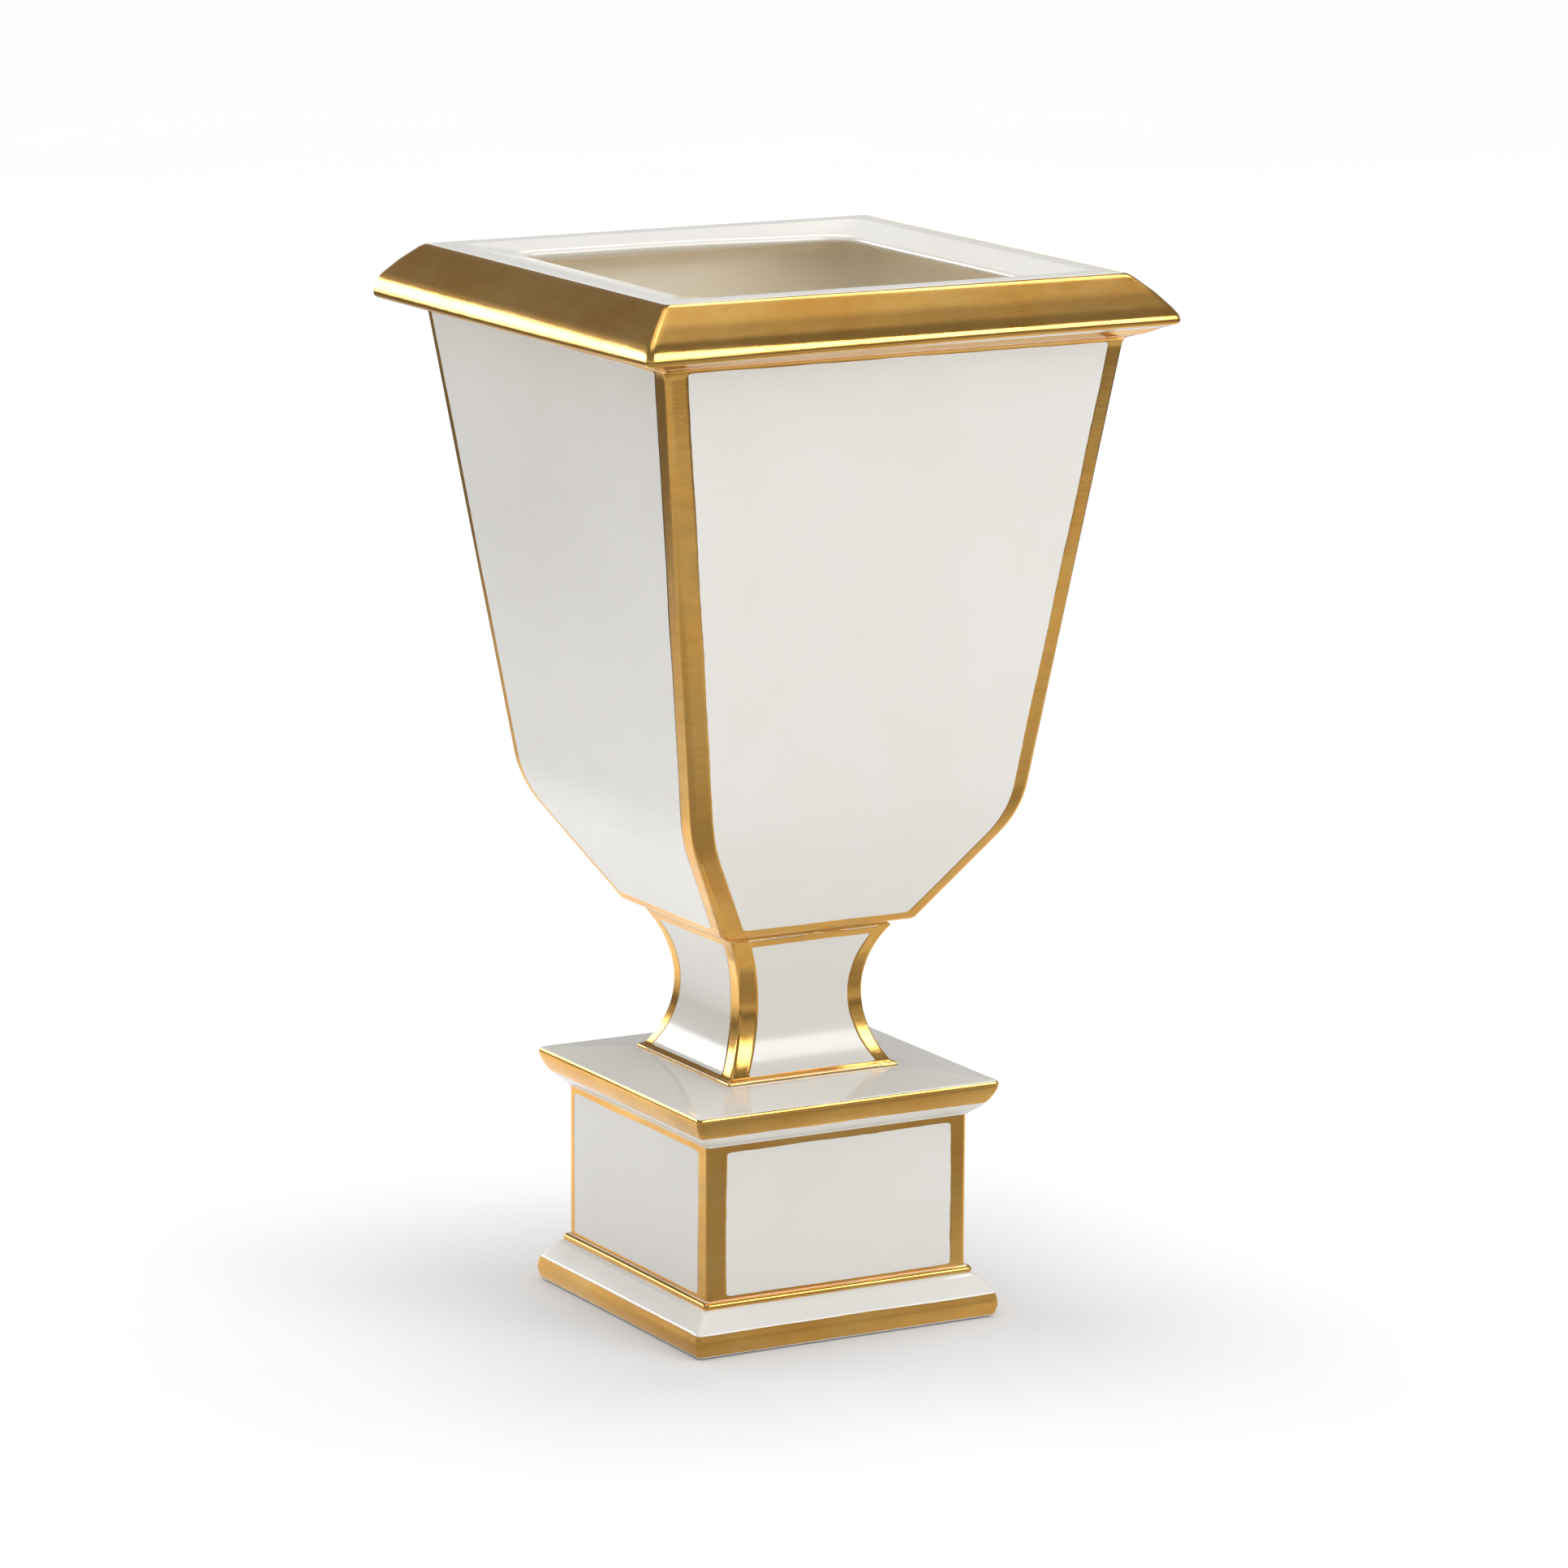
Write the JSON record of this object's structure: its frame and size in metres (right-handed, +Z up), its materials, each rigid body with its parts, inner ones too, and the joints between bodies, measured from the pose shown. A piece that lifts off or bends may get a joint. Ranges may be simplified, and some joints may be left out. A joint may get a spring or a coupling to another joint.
{
  "type": "pedestal vase",
  "caption": "Square tapering porcelain vase on a waisted neck and hollow square plinth, with a broad bevelled rim and gilded edges, corners and mouldings",
  "frame": {"origin": "centre of the underside, on the surface the vase stands on", "axes": "+Z up along the vase's axis of symmetry; the four flat faces look along +X, -X, +Y and -Y"},
  "size_m": [0.2248, 0.2248, 0.406],
  "materials": {
    "porcelain_glaze": "gloss",
    "gold_lustre": "satin"
  },
  "bodies": {
    "root": {"rim": "porcelain_glaze", "bowl": "porcelain_glaze", "neck": "porcelain_glaze", "plinth_cap": "porcelain_glaze", "plinth_block": "porcelain_glaze", "plinth_foot": "porcelain_glaze", "rim_gilding": "gold_lustre", "cove_line": "gold_lustre", "bowl_corner_stripe_1": "gold_lustre", "bowl_corner_stripe_2": "gold_lustre", "bowl_corner_stripe_3": "gold_lustre", "bowl_corner_stripe_4": "gold_lustre", "bowl_bottom_line": "gold_lustre", "neck_top_line": "gold_lustre", "neck_corner_stripe_1": "gold_lustre", "neck_corner_stripe_2": "gold_lustre", "neck_corner_stripe_3": "gold_lustre", "neck_corner_stripe_4": "gold_lustre", "neck_foot_line": "gold_lustre", "cap_gilding": "gold_lustre", "block_top_line": "gold_lustre", "block_corner_stripe_1": "gold_lustre", "block_corner_stripe_2": "gold_lustre", "block_corner_stripe_3": "gold_lustre", "block_corner_stripe_4": "gold_lustre", "block_bottom_line": "gold_lustre", "foot_bead_line": "gold_lustre", "foot_gilding": "gold_lustre"}
  },
  "joints": []
}
